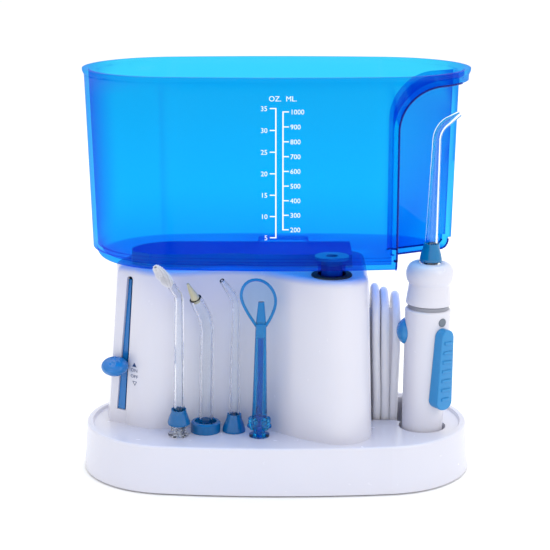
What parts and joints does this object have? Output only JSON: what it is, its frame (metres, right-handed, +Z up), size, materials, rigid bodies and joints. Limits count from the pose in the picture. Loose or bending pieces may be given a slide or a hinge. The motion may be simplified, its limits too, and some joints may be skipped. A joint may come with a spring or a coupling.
{
  "type": "countertop water flosser",
  "caption": "Countertop oral irrigator: oval white base and pump tower, lift-off blue reservoir, cradled handle with a bent jet tip on a wound hose, and loose accessory tips standing in front.",
  "frame": {"origin": "middle of the base outline, on the surface the feet stand on", "axes": "+Z up, front of the object towards -Y, handle side towards +X"},
  "size_m": [0.224, 0.117, 0.2324],
  "materials": {
    "white_abs": "glossy white ABS",
    "pale_polypropylene": "matt off-white polypropylene",
    "grey_plate": "matt pale grey plastic",
    "soft_foot_rubber": "soft dark rubber",
    "zinc_screw": "zinc-plated steel",
    "black_rubber": "black moulded rubber",
    "white_gland_rubber": "pale flexible rubber",
    "blue_tank": "clear tinted blue plastic",
    "clear_plastic": "clear plastic",
    "white_bristle": "fine white nylon bristles",
    "cream_rubber": "soft cream rubber",
    "blue_ring": "blue plastic",
    "teal_ring": "teal-blue plastic",
    "clear_blue": "clear blue plastic",
    "slider_blue": "satin mid-blue plastic",
    "lever_blue": "deep blue plastic",
    "dot_grey": "grey print",
    "white_hose": "white flexible tubing",
    "steel": "ground steel",
    "motor_steel": "plated steel can",
    "acetal": "white acetal",
    "silicone_tube": "milky silicone"
  },
  "bodies": {
    "base": {"base_cover": "white_abs", "hose_tray": "white_abs", "bottom_plate": "grey_plate", "rubber_feet": "soft_foot_rubber", "screws": "zinc_screw", "cord_gland": "white_gland_rubber", "tower_shell": "white_abs", "tower_saddle": "white_abs", "valve_seat": "black_rubber", "inlet_cup": "clear_blue", "inlet_strainer": "clear_blue", "slider_track": "lever_blue", "regulator_body": "pale_polypropylene", "power_switch": "black_rubber", "pump_frame": "pale_polypropylene", "motor_can": "motor_steel", "wheel_axle": "steel", "pump_cylinder": "pale_polypropylene", "valve_chest": "pale_polypropylene", "valve_balls": "steel", "inlet_tube": "silicone_tube", "outlet_tube": "silicone_tube", "hose_fitting": "white_abs", "hose_coil": "white_hose", "hose_lead": "white_hose", "hose_tail": "white_hose"},
    "pressure_slider": {"slider_paddle": "lever_blue", "slider_rack": "acetal"},
    "pressure_dial": {"regulator_dial": "acetal", "regulator_spindle": "acetal"},
    "motor_rotor": {"motor_shaft": "steel", "motor_pinion": "acetal"},
    "crank_wheel": {"drive_wheel": "acetal"},
    "pump_piston": {"connecting_rod": "acetal", "piston": "acetal", "piston_seal": "black_rubber"},
    "lift_off_reservoir": {"reservoir": "blue_tank", "duckbill_valve": "black_rubber"},
    "handle": {"handle_shell": "white_abs", "handle_core": "pale_polypropylene", "flow_tube": "silicone_tube", "hose_nipple": "pale_polypropylene", "nozzle_seal": "black_rubber", "indicator_dot": "dot_grey"},
    "pause_slider": {"grip_slider": "slider_blue", "pause_spool": "acetal"},
    "tip_release": {"eject_button": "slider_blue"},
    "turning_nozzle": {"nozzle_knob": "white_abs"},
    "jet_tip": {"jet_tube": "clear_plastic", "jet_ring": "teal_ring", "tip_washer": "clear_plastic"},
    "brush_tip": {"brush_tube": "clear_plastic", "brush_ring": "blue_ring", "brush_head": "white_bristle"},
    "pocket_tip": {"pocket_tube": "clear_plastic", "pocket_ring": "blue_ring", "pocket_rubber": "cream_rubber"},
    "spare_jet_tip": {"spare_tube": "clear_plastic", "spare_ring": "blue_ring"},
    "tongue_tip": {"tongue_cleaner": "clear_blue"}
  },
  "joints": [
    {"name": "pressure_slide", "type": "slide", "parent": "base", "child": "pressure_slider", "axis": [0.0722, 0.0036, 0.9974], "range_m": [-0.016, 0.034]},
    {"name": "dial_turn", "type": "hinge", "parent": "base", "child": "pressure_dial", "pos_m": [-0.07946, 0.01453, 0.06017], "axis": [0.8882, -0.4551, -0.0627], "range_deg": [-163.5, 77.5]},
    {"name": "motor_spin", "type": "hinge", "parent": "base", "child": "motor_rotor", "pos_m": [-0.031, 0.017, 0.078], "axis": [0, 0, 1], "continuous": true},
    {"name": "wheel_spin", "type": "hinge", "parent": "base", "child": "crank_wheel", "pos_m": [-0.0065, 0.017, 0.078], "axis": [0, 0, 1], "continuous": true},
    {"name": "piston_stroke", "type": "slide", "parent": "base", "child": "pump_piston", "axis": [1, 0, 0], "range_m": [-0.004, 0.004]},
    {"name": "reservoir_lift", "type": "slide", "parent": "base", "child": "lift_off_reservoir", "axis": [0, 0, 1], "range_m": [0, 0.12]},
    {"name": "handle_lift", "type": "slide", "parent": "base", "child": "handle", "axis": [0.0297, 0, 0.9996], "range_m": [0, 0.005]},
    {"name": "pause_slide", "type": "slide", "parent": "handle", "child": "pause_slider", "axis": [0.0297, 0, 0.9996], "range_m": [-0.0045, 0]},
    {"name": "tip_release_press", "type": "slide", "parent": "handle", "child": "tip_release", "axis": [0.9844, -0.1736, -0.0292], "range_m": [0, 0.0022], "stiffness_N_per_m": 250, "springref_m": -0.001},
    {"name": "nozzle_turn", "type": "hinge", "parent": "handle", "child": "turning_nozzle", "pos_m": [0.08425, -0.009, 0.021], "axis": [0.0297, 0, 0.9996], "continuous": true},
    {"name": "jet_tip_pull", "type": "slide", "parent": "turning_nozzle", "child": "jet_tip", "axis": [0.0297, 0, 0.9996], "range_m": [0, 0.005]},
    {"name": "brush_tip_lift", "type": "slide", "parent": "base", "child": "brush_tip", "axis": [0, 0, 1], "range_m": [0, 0.004]},
    {"name": "pocket_tip_lift", "type": "slide", "parent": "base", "child": "pocket_tip", "axis": [0, 0, 1], "range_m": [0, 0.004]},
    {"name": "spare_jet_lift", "type": "slide", "parent": "base", "child": "spare_jet_tip", "axis": [0, 0, 1], "range_m": [0, 0.004]},
    {"name": "tongue_tip_lift", "type": "slide", "parent": "base", "child": "tongue_tip", "axis": [0, 0, 1], "range_m": [0, 0.004]}
  ],
  "couplings": [
    {"joint": "dial_turn", "follows": "pressure_slide", "rad_per_m": -83.333},
    {"joint": "motor_spin", "follows": "wheel_spin", "ratio": -4}
  ]
}
